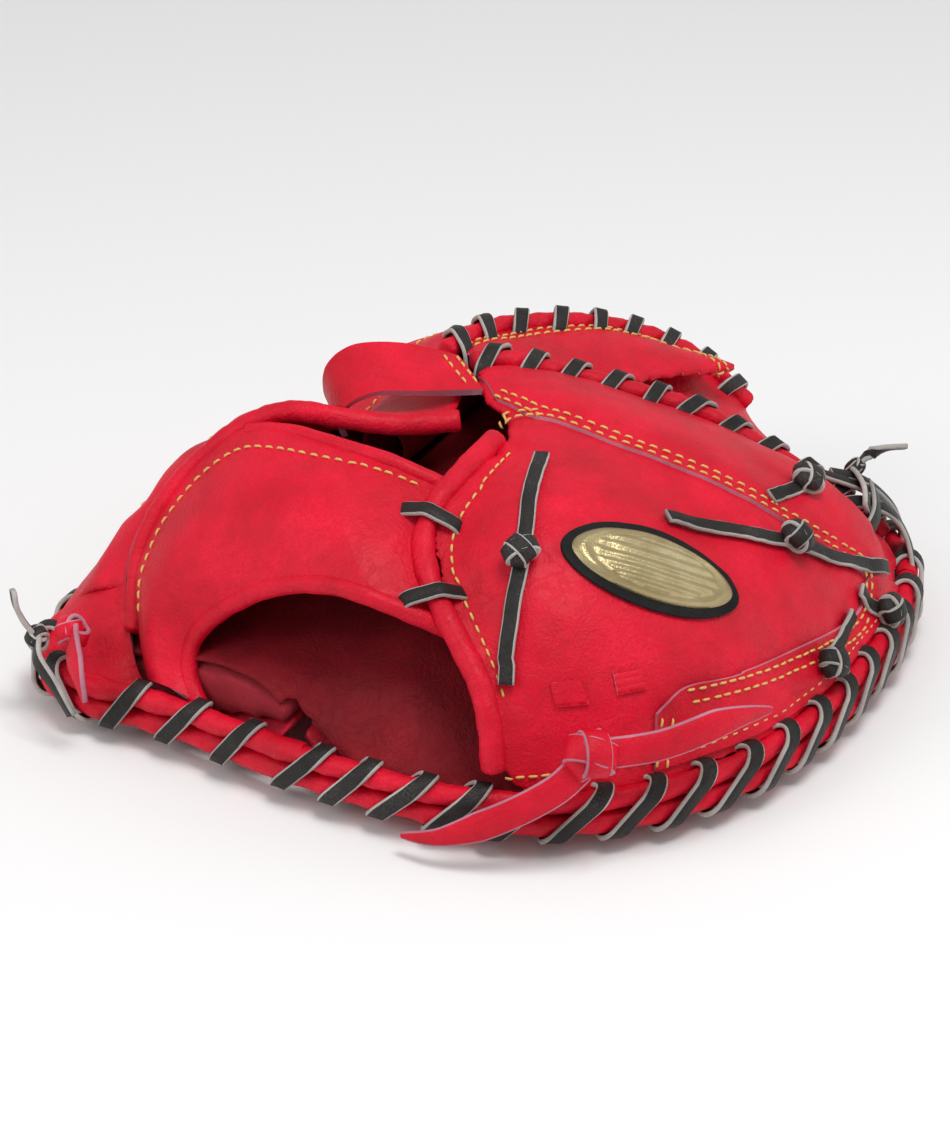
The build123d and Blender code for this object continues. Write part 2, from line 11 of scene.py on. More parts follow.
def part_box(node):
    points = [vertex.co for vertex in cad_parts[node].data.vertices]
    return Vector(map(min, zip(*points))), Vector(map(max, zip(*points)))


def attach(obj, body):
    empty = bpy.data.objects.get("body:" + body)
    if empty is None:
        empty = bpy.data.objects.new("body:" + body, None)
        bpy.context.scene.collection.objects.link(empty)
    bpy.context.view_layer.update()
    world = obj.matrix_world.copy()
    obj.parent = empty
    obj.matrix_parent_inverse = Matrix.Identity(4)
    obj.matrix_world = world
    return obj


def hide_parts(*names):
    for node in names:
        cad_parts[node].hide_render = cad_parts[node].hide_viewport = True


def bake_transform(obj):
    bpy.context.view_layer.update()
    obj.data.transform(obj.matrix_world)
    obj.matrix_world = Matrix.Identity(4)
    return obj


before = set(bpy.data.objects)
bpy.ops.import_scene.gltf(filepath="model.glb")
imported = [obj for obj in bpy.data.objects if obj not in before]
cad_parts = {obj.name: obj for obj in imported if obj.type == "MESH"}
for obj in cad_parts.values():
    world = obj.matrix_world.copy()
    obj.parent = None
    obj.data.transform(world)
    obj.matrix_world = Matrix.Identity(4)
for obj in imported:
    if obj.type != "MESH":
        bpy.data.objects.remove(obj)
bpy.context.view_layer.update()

# ---------------------------------------------------------------------------
# Camera, floor and light
# A long lens looks at the thumb side from the heel corner, over a plain pale floor.

MM = 0.001
PATTERN_ORIGIN = Vector((-7.361, 6.492, 0.297)) * MM    # heel end of the fold, in the row's frame


def at(x, y, z):
    """A place on the mitt's pattern, in millimetres, as a point of the frame in metres."""
    return Vector((x, y, z)) * MM + PATTERN_ORIGIN


target = at(-5.5, 9.5, 31)
back_from_target = Vector((-0.6764, -0.5675, 0.4695)).normalized()
camera_data = bpy.data.cameras.new("studio_camera")
camera_data.lens = 118
camera_data.sensor_width = 36
camera_data.shift_x = -0.001
camera_data.shift_y = 0.0035
camera = bpy.data.objects.new("studio_camera", camera_data)
camera.location = target + back_from_target * 1.375
camera.rotation_euler = back_from_target.to_track_quat("Z", "Y").to_euler()
bpy.context.collection.objects.link(camera)
bpy.context.scene.camera = camera
bpy.context.scene.view_settings.view_transform = "Standard"


def plain_finish(name, colour, roughness):
    """A material of one colour, for what isn't part of the mitt."""
    material = bpy.data.materials.new(name)
    material.use_nodes = True
    shader = material.node_tree.nodes["Principled BSDF"]
    shader.inputs["Base Color"].default_value = (*colour, 1)
    shader.inputs["Roughness"].default_value = roughness
    return material


bpy.ops.object.select_all(action="DESELECT")
bpy.ops.mesh.primitive_plane_add(size=8, location=(0, 0, 0))
floor = bpy.context.object
floor.name = "studio_floor"
floor.data.materials.append(plain_finish("pale_floor", (0.9, 0.9, 0.9), 0.8))

STUDIO_FILL = 0.5
world = bpy.data.worlds.new("studio")
world.use_nodes = True
world.node_tree.nodes["Background"].inputs["Color"].default_value = (1, 1, 1, 1)
world.node_tree.nodes["Background"].inputs["Strength"].default_value = STUDIO_FILL
bpy.context.scene.world = world


def soft_light(name, place, size, power):
    """A square area light that faces the mitt."""
    data = bpy.data.lights.new(name, "AREA")
    data.size = size
    data.energy = power
    lamp = bpy.data.objects.new(name, data)
    lamp.location = place
    lamp.rotation_euler = (Vector(place) - target).to_track_quat("Z", "Y").to_euler()
    bpy.context.collection.objects.link(lamp)


soft_light("key_light", (-0.15, -0.5, 1.5), 0.6, 13)
soft_light("side_light", (-1.3, 0.6, 0.9), 0.8, 6)
soft_light("fill_light", (0.9, -1.2, 0.7), 1.0, 3)

# ---------------------------------------------------------------------------
# Hide: the red glove leather of every outer piece
# Oiled full-grain steer hide, dyed through, with fine pebbles, creases and paler pebble tops, which are
# partly wear and partly a painted highlight.


def new_group(name, inputs, outputs):
    """An empty shader node group with named sockets, and its input and output nodes."""
    group = bpy.data.node_groups.new(name, "ShaderNodeTree")
    for label, kind in inputs:
        group.interface.new_socket(label, in_out="INPUT", socket_type=kind)
    for label, kind in outputs:
        group.interface.new_socket(label, in_out="OUTPUT", socket_type=kind)
    return group, group.nodes.new("NodeGroupInput"), group.nodes.new("NodeGroupOutput")


def put(tree, kind, settings=(), **inputs):
    """A node with its properties set and its inputs filled, from values or from other sockets."""
    node = tree.nodes.new(kind)
    for key, value in dict(settings).items():
        setattr(node, key, value)
    for key, value in inputs.items():
        key = key.replace("_", " ")
        socket = node.inputs[int(key)] if key.isdigit() else node.inputs[key]
        if isinstance(value, bpy.types.NodeSocket):
            tree.links.new(value, socket)
        else:
            socket.default_value = value
    return node


def sums(tree, operation, first, second):
    """The result of one Math node."""
    node = tree.nodes.new("ShaderNodeMath")
    node.operation = operation
    for socket, value in zip(node.inputs, (first, second)):
        if isinstance(value, bpy.types.NodeSocket):
            tree.links.new(value, socket)
        else:
            socket.default_value = value
    return node.outputs[0]


def spread(tree, value, low, high):
    """A value stretched so that low becomes 0 and high becomes 1."""
    return put(tree, "ShaderNodeMapRange", Value=value, From_Min=low, From_Max=high).outputs[0]


grain_group, grain_in, grain_out = new_group(
    "hide_grain",
    [("Pebble Scale", "NodeSocketFloat"), ("Crease", "NodeSocketFloat")],
    [("Height", "NodeSocketFloat"), ("Tone", "NodeSocketFloat"), ("Wear And Highlight", "NodeSocketFloat")])
place = put(grain_group, "ShaderNodeTexCoord").outputs["Object"]
wander = put(grain_group, "ShaderNodeTexNoise", Vector=place, Scale=260.0, Detail=2.0).outputs["Color"]
bent = put(grain_group, "ShaderNodeVectorMath", {"operation": "MULTIPLY_ADD"}).inputs
grain_group.links.new(wander, bent[0])
bent[1].default_value = (0.0014, 0.0014, 0.0014)
grain_group.links.new(place, bent[2])
bent_place = bent[0].node.outputs[0]
pebbles = put(grain_group, "ShaderNodeTexVoronoi", {"feature": "SMOOTH_F1"},
              Vector=bent_place, Scale=grain_in.outputs["Pebble Scale"], Smoothness=0.5).outputs["Distance"]
pores = put(grain_group, "ShaderNodeTexNoise", Vector=place, Scale=3200.0, Detail=3.0).outputs["Fac"]
folds = put(grain_group, "ShaderNodeTexNoise", Vector=bent_place, Scale=95.0, Detail=7.0,
            Roughness=0.62, Distortion=0.7).outputs["Fac"]
fold_lines = sums(grain_group, "ABSOLUTE", sums(grain_group, "SUBTRACT", folds, 0.5), 0.0)
fold_depth = sums(grain_group, "MULTIPLY", spread(grain_group, fold_lines, 0.0, 0.05),
                  grain_in.outputs["Crease"])
height = sums(grain_group, "ADD", sums(grain_group, "MULTIPLY", pebbles, -0.55),
              sums(grain_group, "ADD", sums(grain_group, "MULTIPLY", pores, 0.25), fold_depth))
cloud = put(grain_group, "ShaderNodeTexNoise", Vector=place, Scale=34.0, Detail=5.0,
            Roughness=0.6).outputs["Fac"]
grain_group.links.new(height, grain_out.inputs["Height"])
grain_group.links.new(spread(grain_group, cloud, 0.3, 0.7), grain_out.inputs["Tone"])
# Paler pebble tops in cloudy patches: partly wear, partly a painted highlight where the raised grain catches
# the light.
grain_group.links.new(
    sums(grain_group, "MULTIPLY", spread(grain_group, pebbles, 0.55, 0.1),
         spread(grain_group, cloud, 0.5, 0.75)),
    grain_out.inputs["Wear And Highlight"])


HIDE_SPECULAR = 0.22


def hide_finish(name, colours, pebble, crease, roughness, relief=0.00045, coat=0.0):
    """A leather: deep, body and pale-top colours, pebbles per metre, crease depth and roughness range; the
    pale tops are partly wear, partly a painted highlight.
    """
    material = bpy.data.materials.new(name)
    material.use_nodes = True
    tree = material.node_tree
    shader = tree.nodes["Principled BSDF"]
    grain = tree.nodes.new("ShaderNodeGroup")
    grain.node_tree = grain_group
    grain.inputs["Pebble Scale"].default_value = pebble
    grain.inputs["Crease"].default_value = crease
    deep, body, pale_top_and_highlight = [(*colour, 1) for colour in colours]
    mottled = put(tree, "ShaderNodeMix", {"data_type": "RGBA"}, Factor=grain.outputs["Tone"])
    mottled.inputs[6].default_value = deep
    mottled.inputs[7].default_value = body
    # Pale colour on the pebble tops: wear mixed with a painted highlight.
    wear_and_highlight_mix = put(tree, "ShaderNodeMix", {"data_type": "RGBA"}, Factor=grain.outputs["Wear And Highlight"])
    tree.links.new(mottled.outputs[2], wear_and_highlight_mix.inputs[6])
    wear_and_highlight_mix.inputs[7].default_value = pale_top_and_highlight
    tree.links.new(wear_and_highlight_mix.outputs[2], shader.inputs["Base Color"])
    sheen = put(tree, "ShaderNodeMapRange", Value=grain.outputs["Tone"], To_Min=roughness[0],
                To_Max=roughness[1])
    tree.links.new(sheen.outputs[0], shader.inputs["Roughness"])
    bump = put(tree, "ShaderNodeBump", Height=grain.outputs["Height"], Strength=0.7, Distance=relief)
    tree.links.new(bump.outputs[0], shader.inputs["Normal"])
    shader.inputs["Specular IOR Level"].default_value = HIDE_SPECULAR
    shader.inputs["Coat Weight"].default_value = coat
    shader.inputs["Coat Roughness"].default_value = 0.35
    return material


# The third colour of each leather is its pale pebble-top colour: partly wear, partly painted highlight.
red_hide = hide_finish("red_hide", ((0.50, 0.001, 0.014), (0.76, 0.002, 0.028), (0.82, 0.015, 0.05)),
                       950.0, 0.35, (0.42, 0.54), coat=0.05)
palm_hide = hide_finish("red_palm_hide", ((0.44, 0.004, 0.02), (0.66, 0.012, 0.042), (0.8, 0.08, 0.11)),
                        800.0, 0.6, (0.46, 0.6), coat=0.05)
lining_hide = hide_finish("dark_lining_hide", ((0.16, 0.003, 0.008), (0.27, 0.006, 0.014), (0.36, 0.03,
        0.03)),
                          1300.0, 0.5, (0.6, 0.75))
raw_edge = hide_finish("raw_leather_edge", ((0.38, 0.12, 0.18), (0.58, 0.26, 0.34), (0.7, 0.42, 0.48)),
                       2200.0, 0.2, (0.8, 0.9))


# ---------------------------------------------------------------------------
# Palm leather: one half each side of the break
# Heavy hide, wet-shaped into the pocket, so it is full and a little puckered.


def only(piece):
    """Select one piece and make it the active one."""
    bpy.ops.object.select_all(action="DESELECT")
    piece.select_set(True)
    bpy.context.view_layer.objects.active = piece


def cut_from(name, node):
    """A piece cut to a CAD node: its mesh, with the loose triangles joined."""
    cloth = bmesh.new()
    cloth.from_mesh(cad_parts[node].data)
    bmesh.ops.remove_doubles(cloth, verts=cloth.verts, dist=1e-6)
    mesh = bpy.data.meshes.new(name)
    cloth.to_mesh(mesh)
    cloth.free()
    piece = bpy.data.objects.new(name, mesh)
    bpy.context.collection.objects.link(piece)
    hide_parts(node)
    return piece


CRUMB_SHARE = 0.02


def brush_off_crumbs(piece):
    """Remove loose crumbs that evening out leaves: bits under a fiftieth of the largest one."""
    bm = bmesh.new()
    bm.from_mesh(piece.data)
    seen, bits = set(), []
    for start in bm.verts:
        if start in seen:
            continue
        seen.add(start)
        bit = [start]
        for vertex in bit:
            for edge in vertex.link_edges:
                other = edge.other_vert(vertex)
                if other not in seen:
                    seen.add(other)
                    bit.append(other)
        bits.append(bit)
    least = CRUMB_SHARE * max(len(bit) for bit in bits)
    bmesh.ops.delete(bm, geom=[v for bit in bits if len(bit) < least for v in bit], context="VERTS")
    bm.to_mesh(piece.data)
    bm.free()


def work_soft(piece, grain, passes):
    """Even out a piece to squares of the grain's size and relax its sharp corners."""
    only(piece)
    remesh = piece.modifiers.new("even", "REMESH")
    remesh.mode = "VOXEL"
    remesh.voxel_size = grain
    bpy.ops.object.modifier_apply(modifier="even")
    brush_off_crumbs(piece)
    relax = piece.modifiers.new("relax", "SMOOTH")
    relax.factor = 0.5
    relax.iterations = passes
    bpy.ops.object.modifier_apply(modifier="relax")
    bpy.ops.object.shade_smooth()


def crumple(piece, depth, size, stretch=(1, 1, 1)):
    """Push the surface in and out by smooth noise, up to a depth, in folds of a size."""
    mesh = piece.data
    pushed = []
    for vertex in mesh.vertices:
        spot = Vector([c * s for c, s in zip(vertex.co, stretch)]) / size
        wave = noise.noise(spot) + 0.45 * noise.noise(spot * 2.3 + Vector((7, 3, 1)))
        pushed.append(vertex.co + vertex.normal * wave * depth)
    for vertex, place in zip(mesh.vertices, pushed):
        vertex.co = place
    mesh.update()


def curve_through(points, step=0.0012):
    """Points a step apart along a smooth line through a few places."""
    line = []
    for index in range(len(points) - 1):
        before = points[max(index - 1, 0)]
        start, end = points[index], points[index + 1]
        after = points[min(index + 2, len(points) - 1)]
        count = max(2, round((end - start).length / step))
        for turn in range(count):
            t = turn / count
            line.append(0.5 * (2 * start + (end - before) * t
                               + (2 * before - 5 * start + 4 * end - after) * t ** 2
                               + (3 * start - before - 3 * end + after) * t ** 3))
    line.append(points[-1])
    return line


def surface_of(piece):
    """A search tree of a piece's faces."""
    return BVHTree.FromPolygons([v.co for v in piece.data.vertices],
                                [p.vertices for p in piece.data.polygons])


def laid_on(tree, points, lift=0.0, outside=None):
    """A line's (place, normal, direction) where it is laid on a surface, on the side that faces outside."""
    line = curve_through(points)
    laid = []
    for point in line:
        place, normal, _, _ = tree.find_nearest(point)
        if outside is not None and normal.dot(outside) < 0:
            hit = tree.ray_cast(point + outside * 0.03, -outside)
            if hit[0] is not None:
                place, normal = hit[0], hit[1]
        laid.append([place + normal * lift, normal])
    full = []
    for index, (place, normal) in enumerate(laid):
        ahead = laid[min(index + 1, len(laid) - 1)][0] - laid[max(index - 1, 0)][0]
        full.append((place, normal, ahead.normalized()))
    return full


def draw_in(piece, laid, depth, reach):
    """Pull a surface in along a sewn line, as tight thread does."""
    find = KDTree(len(laid))
    for index, (place, _, _) in enumerate(laid):
        find.insert(place, index)
    find.balance()
    for vertex in piece.data.vertices:
        _, index, distance = find.find(vertex.co)
        if distance < reach:
            vertex.co -= laid[index][1] * depth * (1 - (distance / reach) ** 2) ** 2
    piece.data.update()


def tuck_under(piece, *rolls, gap=0.0048, reach=0.014, sink=0.0012):
    """Stretch a sheet's edge sideways until it runs in under the rolls beside it."""
    for roll in rolls:
        nearby = surface_of(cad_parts[roll])
        for vertex in piece.data.vertices:
            place, _, _, distance = nearby.find_nearest(vertex.co)
            if distance < reach:
                share = min(1.0, (reach - distance) / (reach - gap))
                vertex.co += (place - vertex.co).normalized() * share * (min(gap, distance) + sink)
    piece.data.update()


PALM_GRAIN = 0.0011
PALM_PASSES = 14
for side in ("thumb", "fingers"):
    palm = cut_from("palm_" + side, "palm_leather_" + side)
    work_soft(palm, PALM_GRAIN, PALM_PASSES)
    tuck_under(palm, "rim_roll_lower_" + side, "rim_roll_lower_tip")
    crumple(palm, 0.0008, 0.03, (1, 1.6, 1))
    palm.data.materials.append(palm_hide)
    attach(palm, "thumb_side" if side == "thumb" else "finger_side")

# ---------------------------------------------------------------------------
# Thread: waxed yellow-gold thread, sewn in single or double rows
# Each stitch is a short plump strand that sinks at both ends.

THREAD_RADIUS = 0.00048
STITCH_LENGTH = 0.0032
STITCH_STEP = 0.0040
ROW_APART = 0.0042


def thread_finish():
    """Twisted waxed thread."""
    material = bpy.data.materials.new("gold_thread")
    material.use_nodes = True
    tree = material.node_tree
    shader = tree.nodes["Principled BSDF"]
    place = put(tree, "ShaderNodeTexCoord").outputs["Object"]
    fibre = put(tree, "ShaderNodeTexNoise", Vector=place, Scale=1800.0, Detail=3.0).outputs["Fac"]
    tone = put(tree, "ShaderNodeMix", {"data_type": "RGBA"}, Factor=fibre)
    tone.inputs[6].default_value = (0.52, 0.28, 0.055, 1)
    tone.inputs[7].default_value = (0.86, 0.6, 0.2, 1)
    tree.links.new(tone.outputs[2], shader.inputs["Base Color"])
    bump = put(tree, "ShaderNodeBump", Height=fibre, Strength=0.5, Distance=0.0002)
    tree.links.new(bump.outputs[0], shader.inputs["Normal"])
    shader.inputs["Roughness"].default_value = 0.6
    return material


gold_thread = thread_finish()


def sewn_rows(name, laid_lines, body=None, rows=(0.0,)):
    """One piece of stitches along laid lines, with rows beside each line at the given offsets."""
    sewing = bmesh.new()
    sides = 6
    for laid in laid_lines:
        for row in rows:
            travelled = 0.0
            previous = None
            for place, normal, ahead in laid:
                side = normal.cross(ahead).normalized()
                spot = place + side * row
                if previous is not None:
                    travelled += (spot - previous).length
                if previous is None or travelled >= STITCH_STEP:
                    travelled = 0.0
                    rings = []
                    for along, plump, lift in ((-0.5, 0.35, -0.5), (-0.3, 1, 0.35), (0.3, 1, 0.35),
                                               (0.5, 0.35, -0.5)):
                        middle = spot + ahead * along * STITCH_LENGTH + normal * lift * THREAD_RADIUS
                        rings.append([sewing.verts.new(
                            middle + (side * math.cos(turn) + normal * math.sin(turn))
                            * THREAD_RADIUS * plump)
                            for turn in (math.tau * i / sides for i in range(sides))])
                    for low, high in zip(rings, rings[1:]):
                        for i in range(sides):
                            sewing.faces.new((low[i], low[(i + 1) % sides], high[(i + 1) % sides], high[i]))
                    sewing.faces.new(reversed(rings[0]))
                    sewing.faces.new(rings[-1])
                previous = spot
    bmesh.ops.recalc_face_normals(sewing, faces=sewing.faces)
    mesh = bpy.data.meshes.new(name)
    sewing.to_mesh(mesh)
    sewing.free()
    mesh.materials.append(gold_thread)
    mesh.shade_smooth()
    piece = bpy.data.objects.new(name, mesh)
    bpy.context.collection.objects.link(piece)
    if body:
        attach(piece, body)
    return piece


# ---------------------------------------------------------------------------
# Pads and linings: pressed felt between the palm leather and a soft dark lining
# They are seen only through the wrist opening and round the stalls.

wool_felt = hide_finish("wool_felt", ((0.30, 0.02, 0.03), (0.42, 0.03, 0.05), (0.5, 0.08, 0.1)),
                        2600.0, 0.4, (0.85, 0.95))
for side, body in (("thumb", "thumb_side"), ("fingers", "finger_side")):
    pad = cut_from("felt_pad_" + side, "pad_" + side)
    work_soft(pad, 0.003, 3)
    pad.data.materials.append(wool_felt)
    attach(pad, body)

# One soft lining runs over both pads and across the break, so that nothing shows between them
lining_trees = [surface_of(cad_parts["lining_" + side]) for side in ("thumb", "fingers")]
LINING_STEP = 0.0025
LINING_LIFT = 0.0004
BREAK_HALF = 0.012
low = Vector(min(a, b) for a, b in zip(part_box("lining_thumb")[0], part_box("lining_fingers")[0]))
high = Vector(max(a, b) for a, b in zip(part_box("lining_thumb")[1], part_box("lining_fingers")[1]))


def lining_height(x, y):
    """Top of the linings at a place, or None beside them."""
    tops = [tree.ray_cast(Vector((x, y, 0.2)), Vector((0, 0, -1)))[0] for tree in lining_trees]
    tops = [top.z for top in tops if top is not None]
    return max(tops) if tops else None


def lining_at(x, y):
    """Height of the one lining, bridged straight over the break."""
    here = lining_height(x, y)
    if here is not None:
        return here
    span = [step * LINING_STEP / 2 for step in range(1, round(2 * BREAK_HALF / LINING_STEP))]
    left = next(((s, lining_height(x, y - s)) for s in span if lining_height(x, y - s) is not None), None)
    right = next(((s, lining_height(x, y + s)) for s in span if lining_height(x, y + s) is not None), None)
    if left is None or right is None:
        return None
    return (left[1] * right[0] + right[1] * left[0]) / (left[0] + right[0])


bm = bmesh.new()
columns = []
for i in range(round((high.x - low.x) / LINING_STEP) + 1):
    columns.append([])
    for j in range(round((high.y - low.y) / LINING_STEP) + 1):
        x, y = low.x + i * LINING_STEP, low.y + j * LINING_STEP
        z = lining_at(x, y)
        columns[-1].append(bm.verts.new((x, y, z + LINING_LIFT)) if z is not None else None)
for first, second in zip(columns, columns[1:]):
    for j in range(len(first) - 1):
        corners = [v for v in (first[j], second[j], second[j + 1], first[j + 1]) if v]
        if len(corners) > 2:
            bm.faces.new(corners)
bmesh.ops.delete(bm, geom=[v for v in bm.verts if not v.link_faces], context="VERTS")
mesh = bpy.data.meshes.new("palm_lining")
bm.to_mesh(mesh)
bm.free()
lining = bpy.data.objects.new("palm_lining", mesh)
bpy.context.collection.objects.link(lining)
tuck_under(lining, "rim_roll_upper_thumb", "rim_roll_upper_fingers")
only(lining)
for kind, settings in (("SMOOTH", {"iterations": 3}), ("SOLIDIFY", {"thickness": 0.0014, "offset": 1.0})):
    step = lining.modifiers.new(kind.lower(), kind)
    for key, value in settings.items():
        setattr(step, key, value)
    bpy.ops.object.modifier_apply(modifier=kind.lower())
bpy.ops.object.shade_smooth()
crumple(lining, 0.0008, 0.02)
lining.data.materials.append(lining_hide)
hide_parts("lining_thumb", "lining_fingers")
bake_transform(lining)

for finger in ("index", "middle", "ring", "little", "thumb"):
    stall = cut_from("stall_lining_" + finger, "stall_" + finger)
    work_soft(stall, 0.0009, 4)
    crumple(stall, 0.0004, 0.012)
    stall.data.materials.append(lining_hide)
    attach(stall, "thumb_side" if finger == "thumb" else "finger_side")

# ---------------------------------------------------------------------------
# Back of the thumb side: one big padded panel with quilting rows
# Its edges run under the rolls, and its rows are sewn through the padding.

PANEL_GRAIN = 0.0014
PANEL_PASSES = 5
thumb_panel = cut_from("thumb_back", "back_panel_thumb")
work_soft(thumb_panel, PANEL_GRAIN, PANEL_PASSES)
tuck_under(thumb_panel, "rim_roll_upper_thumb", "edge_roll_thumb", "seam_roll_thumb")
crumple(thumb_panel, 0.0010, 0.04)
crumple(thumb_panel, 0.0003, 0.009)
OUT_OF_THUMB = Vector((-0.3, -0.75, 0.6)).normalized()

main_row = [at(-2, 1, 105), at(0, -18, 104), at(8, -46, 99), at(22, -71, 89), at(40, -93, 73),
            at(61, -106, 54),
            at(70, -110, 44), at(66, -115, 36), at(51, -120, 30), at(7, -125, 37), at(-27, -125, 43),
            at(-49, -120, 46)]
branch_row = [at(-2, -16, 104), at(-8, -13, 103), at(-14, -8, 101)]
patch_end_row = [at(-59, -119, 40), at(-62, -121, 33), at(-64, -121, 27)]
edge_row = [at(-97, -77, 52), at(-92, -64, 66), at(-86, -51, 77), at(-78, -40, 86), at(-66, -34, 93),
            at(-48, -31, 99), at(-28, -26, 101)]
rim_row = [at(-104, -88, 27), at(-88, -102, 27), at(-66, -117, 27), at(-40, -126, 27), at(-8, -131, 27),
           at(25, -128, 27), at(60, -121, 27), at(90, -112, 27)]
thumb_surface = surface_of(thumb_panel)
for row in (main_row, branch_row, patch_end_row, edge_row):
    draw_in(thumb_panel, laid_on(thumb_surface, row, outside=OUT_OF_THUMB), 0.0012, 0.009)
thumb_surface = surface_of(thumb_panel)


def thumb_line(row, lift=0.0002):
    return laid_on(thumb_surface, row, lift, OUT_OF_THUMB)


sewn_rows("thumb_edge_sewing", [thumb_line(edge_row)], "thumb_side")
thumb_panel.data.materials.append(red_hide)
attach(thumb_panel, "thumb_side")

# ---------------------------------------------------------------------------
# Facings on the thumb panel: one beside the web seam and one along the rim
# A second layer of hide with a raw cut edge, sewn down by a double row.

FACING = 0.0013
across_steps = 22


def raw_finish(piece):
    """Give a sheet its two leathers: the hide, and the raw cut edge that Solidify puts in slot 1."""
    piece.data.materials.append(red_hide)
    piece.data.materials.append(raw_edge)


def sheet_between(name, first, second, thickness, shape=None, steps=90):
    """A sheet with even thickness between two lines, each given by a few places."""
    edges = []
    for places in (first, second):
        line = curve_through(places, 0.001)
        edges.append([line[round(i * (len(line) - 1) / steps)] for i in range(steps + 1)])
    bm = bmesh.new()
    rows = []
    for start, end in zip(*edges):
        rows.append([])
        for j in range(across_steps + 1):
            share = j / across_steps
            point = start.lerp(end, share)
            if shape:
                point = shape(point, share, len(rows) / steps)
            rows[-1].append(bm.verts.new(point))
    for low, high in zip(rows, rows[1:]):
        for j in range(across_steps):
            bm.faces.new((low[j], low[j + 1], high[j + 1], high[j]))
    mesh = bpy.data.meshes.new(name)
    bm.to_mesh(mesh)
    bm.free()
    piece = bpy.data.objects.new(name, mesh)
    bpy.context.collection.objects.link(piece)
    raw_finish(piece)
    only(piece)
    wall = piece.modifiers.new("wall", "SOLIDIFY")
    wall.thickness = thickness
    wall.offset = 0
    wall.material_offset_rim = 1
    bpy.ops.object.modifier_apply(modifier="wall")
    bpy.ops.object.mode_set(mode="EDIT")
    bpy.ops.mesh.select_all(action="SELECT")
    bpy.ops.mesh.normals_make_consistent(inside=False)
    bpy.ops.object.mode_set(mode="OBJECT")
    bpy.ops.object.shade_smooth_by_angle(angle=math.radians(50))
    return piece


def on_thumb(lift):
    """Shape that lays each point of a sheet on the thumb panel."""
    def lay(point, *shares):
        place, normal, _, _ = thumb_surface.find_nearest(point)
        if normal.dot(OUT_OF_THUMB) < 0:
            hit = thumb_surface.ray_cast(point + OUT_OF_THUMB * 0.03, -OUT_OF_THUMB)
            if hit[0] is not None:
                place, normal = hit[0], hit[1]
        return place + normal * lift
    return lay


seam_facing = sheet_between(
    "seam_facing",
    [at(-5, 0, 105), at(-4, -20, 104), at(4, -48, 99), at(18, -73, 89), at(36, -95, 73), at(58, -109, 53),
     at(72, -113, 40)],
    [at(8, 22, 104), at(20, 13, 103), at(40, -2, 96), at(56, -18, 87), at(76, -37, 74), at(92, -57, 58),
     at(106, -76, 40)],
    FACING, on_thumb(FACING / 2))
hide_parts("seam_band_thumb")
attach(seam_facing, "thumb_side")
rim_facing = sheet_between(
    "rim_facing",
    [at(-62, -117, 44), at(-49, -118, 49), at(-27, -123, 46), at(7, -123, 41), at(50, -118, 34),
     at(72, -111, 40)],
    [at(-66, -119, 24), at(-48, -125, 24), at(-24, -131, 24), at(12, -131, 24), at(58, -121, 24),
     at(98, -108, 24)],
    FACING, on_thumb(FACING / 2))
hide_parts("rim_band_thumb")
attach(rim_facing, "thumb_side")
over_facing = FACING + 0.0003
sewn_rows("facing_sewing", [thumb_line(row, over_facing) for row in (main_row, branch_row, patch_end_row)],
          "thumb_side", (-ROW_APART / 2, ROW_APART / 2))

# Two small finger tabs, cut in the panel on three sides
for number, (near, far) in enumerate((
        ([at(-88, -92, 58), at(-90, -96, 51)], [at(-80, -98, 58), at(-81, -103, 51)]),
        ([at(-71, -105, 60), at(-73, -109, 53)], [at(-62, -110, 60), at(-63, -114, 53)]))):
    tab = sheet_between("cut_tab_%d" % (number + 1), near, far, 0.0011, on_thumb(0.0007), 12)
    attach(tab, "thumb_side")

# ---------------------------------------------------------------------------
# Back of the finger side
# The same padded leather, drawn in between the fingers.

FINGER_PANEL_GRAIN = 0.0011
FINGER_PANEL_PASSES = 10
finger_panel = cut_from("finger_back", "back_panel_fingers")
work_soft(finger_panel, FINGER_PANEL_GRAIN, FINGER_PANEL_PASSES)
tuck_under(finger_panel, "rim_roll_upper_fingers", "edge_roll_fingers", "seam_roll_fingers")
crumple(finger_panel, 0.0011, 0.04)
OUT_OF_FINGERS = Vector((0, 0.6, 0.8)).normalized()
finger_rows = [
    [at(-50, 60, 97), at(0, 62, 94), at(60, 58, 84), at(110, 44, 68)],
    [at(-70, 80, 80), at(0, 82, 75), at(60, 78, 68), at(105, 62, 54)],
    [at(-85, 98, 58), at(-20, 102, 54), at(50, 96, 50), at(95, 78, 40)],
]
finger_surface = surface_of(finger_panel)
for row in finger_rows:
    draw_in(finger_panel, laid_on(finger_surface, row, outside=OUT_OF_FINGERS), 0.0022, 0.013)
finger_surface = surface_of(finger_panel)
sewn_rows("finger_back_sewing", [laid_on(finger_surface, row, 0.0002, OUT_OF_FINGERS) for row in finger_rows],
          "finger_side")
finger_panel.data.materials.append(red_hide)
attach(finger_panel, "finger_side")

# The heel of the finger side is closed by a gusset from the edge roll down to the rim
gusset = sheet_between(
    "heel_gusset",
    [at(-88, 84, 72), at(-98, 88, 61), at(-108, 86, 48), at(-116, 79, 36), at(-123, 70, 24),
     at(-127, 62, 18)],
    [at(-84, 112, 44), at(-98, 116, 32), at(-118, 112, 24), at(-133, 102, 21), at(-138, 86, 19),
     at(-137, 70, 18)],
    0.0028)
crumple(gusset, 0.0009, 0.025)
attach(gusset, "finger_side")

# ---------------------------------------------------------------------------
# Rolled edges: strips of hide rolled round a cord and sewn along every open edge
# The two rim rolls are bound together by the rim lace; the others finish the back.


